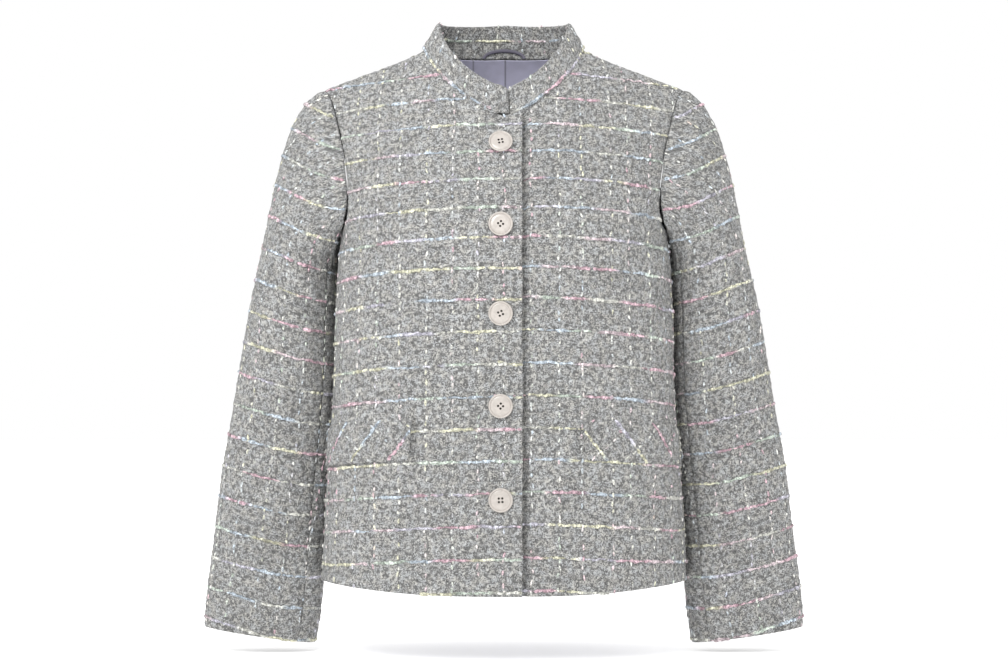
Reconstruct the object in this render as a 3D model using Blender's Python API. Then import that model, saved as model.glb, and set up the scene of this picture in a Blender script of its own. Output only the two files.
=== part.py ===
"""Hip-length tweed jacket, buttoned up and filled out as it is worn, in metres with +Z up.

The front faces -Y and the wearer's right side is at -X. The origin is the middle of the neck opening,
level with the inner ends of the shoulder seams, where the wearer holds the jacket up.
Every cut piece is a wall on one body form. Neighbours share their seam points, so that each seam
stays a hair open, and what lies on a front is made from the front's own form moved out.
"""
import math

import bpy
import numpy as np

# Cloth
TWEED = 0.0020
COLLAR_CLOTH = 0.0030
FLAP_CLOTH = 0.0030
LINING_CLOTH = 0.0010
SEAM_GAP = 0.0003
COLLAR_GAP = 0.0007
SKIN_GAP = 0.0004
LINING_GAP = 0.0010
MITRE_REACH = 1.4

# Body form: height, half width, front depth, back depth, squareness of the section
TORSO = (
    (-0.600, 0.1990, 0.1285, 0.1190, 2.70),
    (-0.500, 0.1950, 0.1255, 0.1130, 2.65),
    (-0.430, 0.1905, 0.1225, 0.1080, 2.60),
    (-0.370, 0.1865, 0.1200, 0.1010, 2.50),
    (-0.300, 0.1850, 0.1230, 0.1030, 2.45),
    (-0.240, 0.1820, 0.1280, 0.1080, 2.40),
    (-0.205, 0.1790, 0.1250, 0.1100, 2.40),
    (-0.140, 0.1890, 0.1080, 0.1120, 2.40),
    (-0.086, 0.2000, 0.0905, 0.1100, 2.40),
    (-0.040, 0.2085, 0.0800, 0.1080, 2.40),
    (0.005, 0.2145, 0.0720, 0.1110, 2.40),
)
SHOULDER_SLOPE = 0.37
NECK_FLICK = 0.0034
NECK_FLICK_RUN = 0.012
FRONT_ROUND = 0.190
BACK_ROUND = 0.120
NECK_ROUND = 2.2
HEM_FRONT = -0.590
HEM_SIDE = -0.580
HEM_BACK = -0.585

# Seams of the body
NECK_HALF = 0.088
NECK_DROP = 0.086
NECK_CURVE = 1.45
BACK_NECK_RISE = 0.003
SHOULDER_TIP = 0.199
UNDERARM = -0.205
FRONT_SCOOP = 0.36
BACK_SCOOP = 0.26
FRONT_AT_UNDERARM = -0.240
BACK_AT_UNDERARM = -0.215

# Front closing
LAP = 0.019
LAP_STEP = 0.0024
LAP_FLAT = 0.024
LAP_EASED = 0.060
COLLAR_END_LEFT = 0.0065
COLLAR_END_RIGHT = 0.0035

# Sleeve rings from upper arm to cuff: outer x, outer z, inner x, inner z, half depth, middle y
SLEEVE = (
    (0.2690, -0.224, 0.1840, -0.246, 0.060, 0.020),
    (0.2810, -0.275, 0.1850, -0.305, 0.057, 0.026),
    (0.2920, -0.332, 0.1858, -0.370, 0.052, 0.029),
    (0.3020, -0.391, 0.1896, -0.428, 0.047, 0.030),
    (0.3110, -0.444, 0.1942, -0.482, 0.042, 0.028),
    (0.3182, -0.500, 0.1975, -0.530, 0.038, 0.025),
    (0.3240, -0.552, 0.1998, -0.578, 0.034, 0.021),
    (0.3292, -0.606, 0.2040, -0.627, 0.030, 0.013),
    (0.3306, -0.634, 0.2080, -0.652, 0.028, 0.008),
)
CAP_ROWS = 6
RING_STEPS = 11
FRONT_SLEEVE_SEAM = 2
BACK_SLEEVE_SEAM = 16
SLEEVE_TURN = 0.15

# Stand collar round the neck: share of the way from an end to the middle back, lean inward, rise
COLLAR = (
    (0.00, 0.0080, 0.0310),
    (0.30, 0.0105, 0.0310),
    (0.62, 0.0160, 0.0300),
    (0.80, 0.0090, 0.0335),
    (1.00, 0.0050, 0.0360),
)
COLLAR_ROWS = 4
COLLAR_CORNER = 0.007
COLLAR_CORNER_DROP = 0.0045

# Pocket flaps: measured from the middle of the front
FLAP_INNER = (0.0945, 0.0810)
FLAP_OUTER_ANGLE = 0.10
FLAP_TOP = -0.405
FLAP_SLANT = 0.008
FLAP_HEIGHT = 0.045
FLAP_CORNER = 0.004

# Buttons, sewn on a thread shank: place on the front, sizes, how far each four-hole pattern is turned
BUTTON_X = -0.0035
BUTTON_HEIGHTS = (-0.1175, -0.2060, -0.2975, -0.3935, -0.4905)
BUTTON_TURNS = (0.20, 0.62, 0.45, 0.72, 0.05)
BUTTON_HOLE = 0.0011
BUTTON_HOLE_RING = 0.0026
BUTTON_SIDES = 20
# Button profile from the shank up: radius, height
BUTTON_PROFILE = (
    (0.0028, 0.0003),
    (0.0028, 0.0016),
    (0.0112, 0.0016),
    (0.0127, 0.0026),
    (0.0127, 0.0036),
    (0.0119, 0.0044),
    (0.0106, 0.0042),
    (0.0094, 0.0034),
)

# Hanger loop of lining cloth at the back neck
LOOP_HALF = 0.0225
LOOP_FOOT = 0.0016
LOOP_RISE = 0.0090
LOOP_WIDE = 0.0040
LOOP_THICK = 0.0012
LOOP_STEPS = 12

# Grid of the pieces
SIDE_ROWS = 9
ARM_ROWS = 10
SHOULDER_COLUMNS = 5
NECK_COLUMNS = 7
BACK_NECK_COLUMNS = 10

TWEED_COLOUR = (0.40, 0.40, 0.39)
LINING_COLOUR = (0.24, 0.23, 0.31)
BUTTON_COLOUR = (0.76, 0.70, 0.66)


def smooth(table, where):
    """Rows of a table joined by a smooth curve, read at the values of the first column."""
    rows = np.array(table)
    keys, values = rows[:, 0], rows[:, 1:]
    slopes = np.gradient(values, keys, axis=0)
    where = np.clip(np.asarray(where, float), keys[0], keys[-1])
    low = np.clip(np.searchsorted(keys, where) - 1, 0, len(keys) - 2)
    span = (keys[low + 1] - keys[low])[..., None]
    t = (where - keys[low])[..., None] / span
    start = values[low] * (1 + 2 * t) * (1 - t) ** 2 + slopes[low] * span * t * (1 - t) ** 2
    end = values[low + 1] * t**2 * (3 - 2 * t) + slopes[low + 1] * span * t**2 * (t - 1)
    return np.moveaxis(start + end, -1, 0)


def ridge(x):
    """Height of the shoulder line above a place across the body, rounded over inside the neck."""
    past = np.maximum(np.abs(x) - NECK_HALF, 0)
    slope = -SHOULDER_SLOPE * past - NECK_FLICK * (1 - np.exp(-past / NECK_FLICK_RUN))
    steep = SHOULDER_SLOPE + NECK_FLICK / NECK_FLICK_RUN
    over = steep * NECK_HALF / NECK_ROUND * (1 - (np.abs(x) / NECK_HALF) ** NECK_ROUND)
    return np.where(np.abs(x) > NECK_HALF, slope, over)


def body_point(angle, z, back):
    """Point on the body form: the angle runs from the side seam to the middle and past it."""
    half, front_depth, back_depth, square = smooth(TORSO, z)
    c, s = np.cos(angle), np.sin(angle)
    x = half * np.sign(c) * np.abs(c) ** (2 / square)
    drop = np.clip((ridge(x) - z) / (BACK_ROUND if back else FRONT_ROUND), 0, 1)
    depth = np.sign(s) * np.abs(s) ** (2 / square) * (1 - (1 - drop) ** 2.2) ** 0.62
    return np.stack([x, depth * (back_depth if back else -front_depth), z + 0 * x], axis=-1)


def body_normal(angle, z, back):
    """Direction out of the body form at an angle and height."""
    turn, lift = 0.01, 0.001
    around = body_point(angle + turn, z, back) - body_point(angle - turn, z, back)
    up = body_point(angle, z + lift, back) - body_point(angle, z - lift, back)
    out = np.cross(around, up) * (-1 if back else 1)
    return out / -np.linalg.norm(out, axis=-1, keepdims=True)


def angle_at(x, z):
    """Angle on the form at which the body is x wide of its middle."""
    half, _, _, square = smooth(TORSO, z)
    return np.arccos(np.sign(x) * np.clip(np.abs(x) / half, 0, 1) ** (square / 2))


def armhole(share, scoop):
    """Angle and height along the armhole, from the underarm to the shoulder tip."""
    tip = ridge(SHOULDER_TIP)
    z = UNDERARM + (tip - UNDERARM) * (1 - np.cos(math.pi * share)) / 2
    angle = angle_at(SHOULDER_TIP, tip) * share + scoop * np.sin(math.pi * share**0.7) ** 0.8
    return angle, z


def front_neck(x):
    """Height of the front neckline at a distance from the middle."""
    across = np.clip(np.abs(x) / NECK_HALF, 0, 1) ** NECK_CURVE
    return -NECK_DROP * (1 - across) ** (1 / NECK_CURVE)


def patch(left, right, bottom, top):
    """Grid of angles and heights inside four edges, with the shoulder hump kept near the top."""
    u = ((bottom[0] - bottom[0][0]) / (bottom[0][-1] - bottom[0][0]))[None, :]
    v = np.linspace(0, 1, len(left[0]))[:, None]
    grids = []
    for i in range(2):
        sides = (1 - u) * left[i][:, None] + u * right[i][:, None]
        low = bottom[i] - ((1 - u) * bottom[i][0] + u * bottom[i][-1])
        high = top[i] - ((1 - u) * top[i][0] + u * top[i][-1])
        grids.append(sides + (1 - v) * low + v**3 * high)
    return grids


def side_edge(scoop):
    """Side seam and armhole as one edge: angles and heights from the hem to the shoulder tip."""
    seam = np.linspace(HEM_SIDE, UNDERARM, SIDE_ROWS + 1)
    angle, z = armhole(np.linspace(0, 1, ARM_ROWS + 1)[1:] ** 1.3, scoop)
    return np.concatenate([0 * seam, angle]), np.concatenate([seam, z])


def middle_heights(hem, at_underarm, top):
    """Heights along the middle edge that go with the rows of the side edge."""
    low = np.linspace(hem, at_underarm, SIDE_ROWS + 1)
    return np.concatenate([low, np.linspace(at_underarm, top, ARM_ROWS + 1)[1:]])


def front_grid():
    """Points and normals of a front, from the side seam to the edge of the lap, at +X."""
    turn = np.linspace(0, math.pi / 2, NECK_COLUMNS + 1)
    neck = NECK_HALF * np.cos(turn) ** (2 / NECK_CURVE)
    neck = np.concatenate([neck[1:-1], [COLLAR_END_LEFT, -COLLAR_END_RIGHT, -LAP]])
    shoulder = np.linspace(SHOULDER_TIP, NECK_HALF, SHOULDER_COLUMNS + 1)
    x_top = np.concatenate([shoulder, neck])
    z_top = np.concatenate([ridge(shoulder), front_neck(neck)])
    top = angle_at(x_top, z_top), z_top

    last = np.array([COLLAR_END_LEFT, -COLLAR_END_RIGHT, -LAP])
    count = len(x_top) - len(last)
    around = np.linspace(0, 1.47, count)
    a_hem = np.concatenate([around, angle_at(last, np.full(3, HEM_FRONT))])
    z_hem = HEM_SIDE + (HEM_FRONT - HEM_SIDE) * np.sin(np.minimum(a_hem, math.pi / 2)) ** 3.2
    z_mid = middle_heights(z_hem[-1], FRONT_AT_UNDERARM, z_top[-1])
    right = angle_at(np.full(len(z_mid), -LAP), z_mid), z_mid
    angle, z = patch(side_edge(FRONT_SCOOP), right, (a_hem, z_hem), top)
    return body_point(angle, z, back=False), body_normal(angle, z, back=False)


def back_grid():
    """Points and normals of the whole back, from the wearer's left side seam to the right one."""
    shoulder = np.linspace(SHOULDER_TIP, NECK_HALF, SHOULDER_COLUMNS + 1)
    half = BACK_NECK_COLUMNS // 2
    a_neck = np.linspace(angle_at(np.array(NECK_HALF), np.array(0.0)), math.pi / 2, half + 1)[1:]
    z_neck = BACK_NECK_RISE * np.linspace(0, 1, half + 1)[1:]
    top = (
        np.concatenate([angle_at(shoulder, ridge(shoulder)), a_neck]),
        np.concatenate([ridge(shoulder), z_neck]),
    )
    a_hem = np.linspace(0, math.pi / 2, len(top[0]))
    z_hem = HEM_SIDE + (HEM_BACK - HEM_SIDE) * np.sin(a_hem) ** 3.2
    z_mid = middle_heights(HEM_BACK, BACK_AT_UNDERARM, BACK_NECK_RISE)
    right = np.full(len(z_mid), math.pi / 2), z_mid
    angle, z = patch(side_edge(BACK_SCOOP), right, (a_hem, z_hem), top)
    halves = []
    for half in (body_point(angle, z, back=True), body_normal(angle, z, back=True)):
        halves.append(np.concatenate([half, mirrored(half)[:, -2::-1]], axis=1))
    return halves


def sleeve_grid(loop):
    """Sleeve at +X from the armhole loop to the cuff; the loop starts at the underarm, front first."""
    count = len(loop)
    theta = math.pi - 2 * math.pi * np.arange(count) / count
    c, s = np.cos(theta)[:, None], np.sin(theta)[:, None]
    ahead = np.concatenate([0.68 + 0.23 * c, -0.22 * s, -0.64 + 0.24 * c], axis=1)
    ahead /= np.linalg.norm(ahead, axis=1, keepdims=True)

    def ring(place):
        rows = [(i, *row) for i, row in enumerate(SLEEVE)]
        outer_x, outer_z, inner_x, inner_z, deep, y = smooth(rows, place)
        middle = np.array([(outer_x + inner_x) / 2, y, (outer_z + inner_z) / 2])
        wide = np.array([(outer_x - inner_x) / 2, 0, (outer_z - inner_z) / 2])
        turned = (theta - SLEEVE_TURN * place / (len(SLEEVE) - 1))[:, None]
        return middle + np.cos(turned) * wide - np.sin(turned) * np.array([0, deep, 0])

    first = ring(0.0)
    along = (ring(0.05) - first) / np.linalg.norm(ring(0.05) - first, axis=1, keepdims=True)
    start = ahead * (0.0925 + 0.0575 * c)
    end = along * (0.115 + 0.070 * c)
    rows = []
    for t in np.linspace(0, 1, CAP_ROWS + 1)[:-1]:
        hold = loop * (1 + 2 * t) * (1 - t) ** 2 + first * t**2 * (3 - 2 * t)
        rows.append(hold + start * t * (1 - t) ** 2 + end * t**2 * (t - 1))
    rows += [ring(place) for place in np.linspace(0, len(SLEEVE) - 1, RING_STEPS + 1)]
    return np.stack(rows)


def collar_grid(base):
    """Collar standing on the neckline, from the right end round the back to the left end."""
    steps = np.linalg.norm(np.diff(base, axis=0), axis=1)
    run = np.concatenate([[0], np.cumsum(steps)])
    middle = run[-1] / 2
    lean, rise = smooth(COLLAR, 1 - np.abs(run - middle) / middle)
    inward = np.stack([-base[:, 0], -0.008 - base[:, 1], 0 * run], axis=1)
    inward /= np.linalg.norm(inward, axis=1, keepdims=True)
    near = np.clip(1 - np.minimum(run, run[-1] - run) / COLLAR_CORNER, 0, 1)
    rise = rise - COLLAR_CORNER_DROP * near**2
    share = np.linspace(0, 1, COLLAR_ROWS + 1)[:, None, None]
    up = np.stack([0 * run, 0 * run, rise], axis=1)
    return base + share * up + share**1.3 * lean[:, None] * inward


def flap_grid(inner):
    """Face of a pocket flap on the front form, from its inner edge round to the side."""
    rows = 4
    start = float(angle_at(np.array(inner), np.array(FLAP_TOP)))
    share = np.concatenate([[0, 0.03], np.linspace(0.11, 0.89, 9), [0.97, 1]])
    angle = start + (FLAP_OUTER_ANGLE - start) * share
    run = np.minimum(share, 1 - share) * 0.135
    lift = FLAP_CORNER * np.clip(1 - run / FLAP_CORNER, 0, 1) ** 2
    down = np.linspace(0, 1, rows + 1)[:, None]
    z = FLAP_TOP - FLAP_SLANT * share - down * (FLAP_HEIGHT - lift)
    return body_point(np.broadcast_to(angle, z.shape), z, back=False)


def grid_normals(grid, outward):
    """Unit normals of a grid; outward is a point function's rough direction to agree with."""
    n = np.cross(np.gradient(grid, axis=1), np.gradient(grid, axis=0))
    n /= np.linalg.norm(n, axis=2, keepdims=True)
    return n * np.sign(np.sum(n * outward, axis=(0, 1, 2)))


def edge_keys(grid):
    """The grid's border points as (row, column, key) with a key that neighbours share."""
    rows, columns = grid.shape[:2]
    for i in range(rows):
        for j in range(columns):
            if i in (0, rows - 1) or j in (0, columns - 1):
                yield i, j, tuple(np.round(grid[i, j] * 1e6).astype(int))


def seam_directions(pieces):
    """For each seam point the direction that halves the angle between the cloths that meet there."""
    sums = {}
    for group, grid, normals, _ in pieces.values():
        for i, j, key in edge_keys(grid):
            groups = sums.setdefault(key, {})
            groups[group] = groups.get(group, 0) + normals[i, j]
    directions = {}
    for key, groups in sums.items():
        units = [n / np.linalg.norm(n) for n in groups.values()]
        total = sum(units)
        directions[key] = total / np.linalg.norm(total)
    return directions


def inner_grid(piece, directions):
    """Inner face of a wall: straight through the cloth, and along the mitre at the seams."""
    _, grid, normals, cloth = piece
    inner = grid - cloth * normals
    for i, j, key in edge_keys(grid):
        mitre = directions[key]
        reach = 1 / max(abs(float(mitre @ normals[i, j])), 1 / MITRE_REACH)
        inner[i, j] = grid[i, j] - cloth * reach * mitre
    return inner


def pulled_back(grid, gap):
    """The same grid with its border drawn in by half a seam gap."""
    out = grid.copy()
    for edge, beside in ((0, 1), (-1, -2)):
        step = grid[beside] - grid[edge]
        out[edge] += step * gap / 2 / np.linalg.norm(step, axis=1, keepdims=True)
        step = grid[:, beside] - grid[:, edge]
        out[:, edge] += step * gap / 2 / np.linalg.norm(step, axis=1, keepdims=True)
    return out


def add_object(name, points, faces, colour, roughness):
    """One object from points and faces, with its own material."""
    mesh = bpy.data.meshes.new(name)
    mesh.from_pydata([tuple(p) for p in points], [], faces)
    mesh.validate()
    item = bpy.data.objects.new(name, mesh)
    bpy.context.scene.collection.objects.link(item)
    material = bpy.data.materials.new(name)
    material.use_nodes = True
    shader = material.node_tree.nodes["Principled BSDF"]
    shader.inputs["Base Color"].default_value = (*colour, 1)
    shader.inputs["Roughness"].default_value = roughness
    mesh.materials.append(material)
    return item


def wall(name, outer, inner, colour=TWEED_COLOUR, roughness=0.9):
    """Closed wall between an outer and an inner grid."""
    rows, columns = outer.shape[:2]
    count = rows * columns
    points = np.concatenate([outer.reshape(-1, 3), inner.reshape(-1, 3)])
    index = np.arange(count).reshape(rows, columns)
    across = np.cross(outer[0, 1] - outer[0, 0], outer[1, 0] - outer[0, 0])
    faces = []
    for i in range(rows - 1):
        for j in range(columns - 1):
            a, b, c, d = index[i, j], index[i, j + 1], index[i + 1, j + 1], index[i + 1, j]
            for face in ([a, b, c], [a, c, d]):
                faces += [face, [q + count for q in reversed(face)]]
    border = list(index[0]) + list(index[1:, -1]) + list(index[-1, -2::-1]) + list(index[-2:0:-1, 0])
    for a, b in zip(border, border[1:] + border[:1]):
        # The shorter diagonal, so that both sides of a seam are cut alike.
        if np.linalg.norm(points[a] - points[b + count]) < np.linalg.norm(points[b] - points[a + count]):
            faces += [[b, a, b + count], [a, a + count, b + count]]
        else:
            faces += [[b, a, a + count], [b, a + count, b + count]]
    if across @ (outer[0, 0] - inner[0, 0]) < 0:
        faces = [face[::-1] for face in faces]
    faces = [[int(q) for q in face] for face in faces]
    return add_object(name, points, faces, colour, roughness)


def between(grid, rows, columns):
    """The grid read at fractional rows and columns, straight between its points."""
    def along(values, places, axis):
        low = np.clip(np.floor(places).astype(int), 0, values.shape[axis] - 2)
        part = (places - low).reshape([-1 if k == axis else 1 for k in range(values.ndim)])
        return np.take(values, low, axis) * (1 - part) + np.take(values, low + 1, axis) * part

    return along(along(grid, rows, 0), columns, 1)


def back_lining(grid, normals):
    """Lining on the inside of the back, up to the neck and shoulder seams and clear of the hem."""
    rows, columns = grid.shape[:2]
    at_rows = np.concatenate([[0.5], np.arange(1, rows)])
    at_columns = np.arange(1.0, columns - 1)
    face = between(grid, at_rows, at_columns)
    away = between(normals, at_rows, at_columns)
    # Along the shoulder seams it stops short, so that it stays under the back.
    short = np.where(np.abs(face[-1, :, :1]) > NECK_HALF + 0.001, 0.18, 0)
    for values in (face, away):
        values[-1] += short * (values[-2] - values[-1])
    away /= np.linalg.norm(away, axis=2, keepdims=True)
    outer = face - (TWEED + LINING_GAP) * away
    wall("back_lining", outer, outer - LINING_CLOTH * away, LINING_COLOUR, 0.45)


def button(name, front, z, turn):
    """Four-hole button with a raised rim, on its shank against the right front's face."""
    column = front[:, -3]
    low, y, high = np.interp([z - 0.006, z, z + 0.006], column[:, 2], column[:, 1])
    place = np.array([BUTTON_X, y, z])
    out = np.array([0, -0.012, high - low])
    out /= np.linalg.norm(out)
    right = np.array([1.0, 0, 0])
    up = np.cross(out, right)

    ring = 2 * math.pi * np.arange(BUTTON_SIDES) / BUTTON_SIDES
    points = [place + h * out + r * (np.cos(t) * right + np.sin(t) * up)
              for r, h in BUTTON_PROFILE for t in ring]
    faces = [list(range(BUTTON_SIDES))[::-1], [len(points) - BUTTON_SIDES + i for i in range(BUTTON_SIDES)]]
    for k in range(len(BUTTON_PROFILE) - 1):
        for i in range(BUTTON_SIDES):
            a, b = k * BUTTON_SIDES + i, k * BUTTON_SIDES + (i + 1) % BUTTON_SIDES
            faces.append([a, b, b + BUTTON_SIDES, a + BUTTON_SIDES])
    item = add_object(name, points, faces, BUTTON_COLOUR, 0.3)

    drills = []
    for k in range(4):
        t = turn + math.pi / 4 + k * math.pi / 2
        middle = place + BUTTON_HOLE_RING * (math.cos(t) * right + math.sin(t) * up)
        corners = [middle + h * out + BUTTON_HOLE * (math.cos(q) * right + math.sin(q) * up)
                   for h in (0.0020, 0.0060) for q in np.arange(6) * math.pi / 3]
        sides = [[i, (i + 1) % 6, (i + 1) % 6 + 6, i + 6] for i in range(6)]
        drills.append(add_object("drill", corners, [[5, 4, 3, 2, 1, 0], list(range(6, 12))] + sides, (0, 0, 0), 1))
    for drill in drills:
        cut = item.modifiers.new("hole", "BOOLEAN")
        cut.operation = "DIFFERENCE"
        cut.solver = "EXACT"
        cut.object = drill
    evaluated = item.evaluated_get(bpy.context.evaluated_depsgraph_get())
    cut_mesh = bpy.data.meshes.new_from_object(evaluated)
    item.modifiers.clear()
    item.data = cut_mesh
    for drill in drills:
        bpy.data.objects.remove(drill, do_unlink=True)


def hanger_loop(collar):
    """Flat strip of lining cloth that arches over the back neck seam, against the collar's inside."""
    middle = collar.shape[1] // 2
    near = collar[:, middle - 2:middle + 3]
    points = []
    for k in range(LOOP_STEPS + 1):
        t = math.pi * k / LOOP_STEPS
        reach = np.array([math.cos(t), 0, math.sin(t)])
        for wide, thick in ((-0.5, 0), (0.5, 0), (0.5, -1), (-0.5, -1)):
            x = (LOOP_HALF + wide * LOOP_WIDE) * reach[0]
            z = LOOP_FOOT + (LOOP_RISE + wide * LOOP_WIDE) * reach[2]
            row = np.interp(z, near[:, 2, 2], np.arange(len(near)))
            line = between(near, np.array([row]), np.arange(5.0))[0]
            y = np.interp(x, line[:, 0], line[:, 1])
            points.append((x, y - SKIN_GAP + thick * LOOP_THICK, z))
    faces = [[0, 1, 2, 3], [len(points) - 1 - i for i in range(4)]]
    for k in range(LOOP_STEPS):
        for i in range(4):
            a, b = 4 * k + i, 4 * k + (i + 1) % 4
            faces.append([b, a, a + 4, b + 4])
    add_object("hanger_loop", points, faces, LINING_COLOUR, 0.45)


def lapped(grid, normals):
    """The left front drawn in under the right one, easing out towards the side."""
    share = np.clip((LAP_EASED - grid[..., :1]) / (LAP_EASED - LAP_FLAT), 0, 1)
    return grid - LAP_STEP * share**2 * (3 - 2 * share) * normals


def mirrored(grid):
    return grid * (-1, 1, 1)


def jacket():
    front, front_out = front_grid()
    left = lapped(front, front_out)
    back, back_out = back_grid()

    # Armhole loop at +X: up the front from the underarm to the tip, then down the back.
    loop = np.concatenate([front[SIDE_ROWS:, 0], back[-2:SIDE_ROWS:-1, 0]])
    sleeve = sleeve_grid(loop)
    sleeve = np.concatenate([sleeve, sleeve[:, :1]], axis=1)
    axis = sleeve[:, :-1].mean(axis=1, keepdims=True)
    sleeve_normals = np.cross(
        np.roll(sleeve[:, :-1], -1, axis=1) - np.roll(sleeve[:, :-1], 1, axis=1),
        np.gradient(sleeve[:, :-1], axis=0),
    )
    sleeve_normals /= np.linalg.norm(sleeve_normals, axis=2, keepdims=True)
    sleeve_normals *= np.sign(np.sum(sleeve_normals * (sleeve[:, :-1] - axis)))
    sleeve_normals = np.concatenate([sleeve_normals, sleeve_normals[:, :1]], axis=1)
    wrap = len(loop)
    top_columns = list(range(FRONT_SLEEVE_SEAM, BACK_SLEEVE_SEAM + 1))
    under_columns = [k % wrap for k in range(BACK_SLEEVE_SEAM, wrap + FRONT_SLEEVE_SEAM + 1)]

    # Neckline from the right collar end round the back to the left one.
    right_neck = mirrored(front)[-1, -2:SHOULDER_COLUMNS:-1]
    back_neck = back[-1, SHOULDER_COLUMNS:-SHOULDER_COLUMNS][::-1]
    left_neck = left[-1, SHOULDER_COLUMNS + 1:-2]
    collar = collar_grid(np.concatenate([right_neck, back_neck, left_neck]))
    collar_out = np.stack([collar[..., 0], collar[..., 1] + 0.008, 0 * collar[..., 2]], axis=-1)

    pieces = {
        "front_left": ("body", left, front_out, TWEED),
        "front_right": ("body", mirrored(front), mirrored(front_out), TWEED),
        "back": ("body", back, back_out, TWEED),
        "collar": ("collar", collar, grid_normals(collar, collar_out), COLLAR_CLOTH),
    }
    for side, turn in (("left", (1, 1, 1)), ("right", (-1, 1, 1))):
        for name, columns in (("top", top_columns), ("under", under_columns)):
            pieces[f"sleeve_{side}_{name}"] = (
                "sleeve", sleeve[:, columns] * turn, sleeve_normals[:, columns] * turn, TWEED)

    directions = seam_directions(pieces)
    for name, piece in pieces.items():
        gap = COLLAR_GAP if name == "collar" else SEAM_GAP
        wall(name, pulled_back(piece[1], gap), pulled_back(inner_grid(piece, directions), gap))
    back_lining(back, back_out)

    for side, turn, inner in (("right", (-1, 1, 1), FLAP_INNER[0]), ("left", (1, 1, 1), FLAP_INNER[1])):
        face = flap_grid(inner)
        away = grid_normals(face, np.stack([face[..., 0], face[..., 1], 0 * face[..., 2]], axis=-1))
        low = (face + SKIN_GAP * away) * turn
        high = (face + (SKIN_GAP + FLAP_CLOTH) * away) * turn
        wall(f"flap_{side}", high, low)

    for k, (z, turn) in enumerate(zip(BUTTON_HEIGHTS, BUTTON_TURNS)):
        button(f"button_{k + 1}", front, z, turn)
    hanger_loop(inner_grid(pieces["collar"], directions))


for item in list(bpy.data.objects):
    bpy.data.objects.remove(item, do_unlink=True)
jacket()
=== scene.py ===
"""Looks of the tweed jacket: nubby cloth shells, woven-in pastel yarn, lining, buttons, light and camera.

Every cloth piece is a fine grid on the form that its solid has. A grid point also knows its place on the
flat cloth, u across and v along it in metres, which the yarns, flecks and materials follow.
"""
import math

import bpy
import numpy as np
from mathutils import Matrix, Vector


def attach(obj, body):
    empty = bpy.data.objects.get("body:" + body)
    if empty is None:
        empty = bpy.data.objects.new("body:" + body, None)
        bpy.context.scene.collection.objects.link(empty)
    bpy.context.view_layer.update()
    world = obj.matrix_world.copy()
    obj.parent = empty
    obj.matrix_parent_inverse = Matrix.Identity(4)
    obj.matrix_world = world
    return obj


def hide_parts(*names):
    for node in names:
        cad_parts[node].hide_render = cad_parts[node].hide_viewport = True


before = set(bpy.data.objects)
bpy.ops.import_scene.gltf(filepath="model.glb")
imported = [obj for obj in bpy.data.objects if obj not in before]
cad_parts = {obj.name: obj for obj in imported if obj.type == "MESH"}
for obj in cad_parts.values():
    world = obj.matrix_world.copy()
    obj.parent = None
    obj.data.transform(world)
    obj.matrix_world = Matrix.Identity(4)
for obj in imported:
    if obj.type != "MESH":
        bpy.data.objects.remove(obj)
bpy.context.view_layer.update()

# Body form: height, half width, front depth, back depth, squareness of the section
TORSO = (
    (-0.6, 0.199, 0.1285, 0.119, 2.7),
    (-0.5, 0.195, 0.1255, 0.113, 2.65),
    (-0.43, 0.1905, 0.1225, 0.108, 2.6),
    (-0.37, 0.1865, 0.12, 0.101, 2.5),
    (-0.3, 0.185, 0.123, 0.103, 2.45),
    (-0.24, 0.182, 0.128, 0.108, 2.4),
    (-0.205, 0.179, 0.125, 0.11, 2.4),
    (-0.14, 0.189, 0.108, 0.112, 2.4),
    (-0.086, 0.2, 0.0905, 0.11, 2.4),
    (-0.04, 0.2085, 0.08, 0.108, 2.4),
    (0.005, 0.2145, 0.072, 0.111, 2.4),
)
SHOULDER_SLOPE = 0.37
NECK_FLICK = 0.0034
NECK_FLICK_RUN = 0.012
FRONT_ROUND = 0.19
BACK_ROUND = 0.12
ROUND_CURVE = 2.2
ROUND_FULL = 0.62
NECK_ROUND = 2.2
HEM_FRONT = -0.59
HEM_SIDE = -0.58
HEM_BACK = -0.585
HEM_CURVE = 3.2

# Seams of the body
NECK_HALF = 0.088
NECK_DROP = 0.086
NECK_CURVE = 1.45
BACK_NECK_RISE = 0.003
SHOULDER_TIP = 0.199
UNDERARM = -0.205
FRONT_SCOOP = 0.36
BACK_SCOOP = 0.26
FRONT_AT_UNDERARM = -0.24
BACK_AT_UNDERARM = -0.215
SCOOP_LOW = 0.7
SCOOP_FULL = 0.8

# Front closing
LAP = 0.019
LAP_STEP = 0.0024
LAP_FLAT = 0.024
LAP_EASED = 0.06
LAP_START = 0.03
LAP_ROLL = 0.002
LAP_ROLL_WIDE = 0.009
LAP_WAVE = 0.0008
LAP_WAVE_LONG = 0.024
LAP_WAVE_SEED = 5
LAP_GROOVE = 0.0072
LAP_GROOVE_X = 0.0213
LAP_GROOVE_WIDE = 0.0034
LAP_GROOVE_START = 0.016
COLLAR_END_LEFT = -0.012
COLLAR_END_RIGHT = 0.0052
COLLAR_TUCK = 0.004
COLLAR_TUCK_FROM = 0.014
COLLAR_TUCK_RUN = 0.01
COLLAR_SLOT = 0.0022
COLLAR_SLOT_LONG = 0.015
COLLAR_SLOT_END = 0.002

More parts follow.
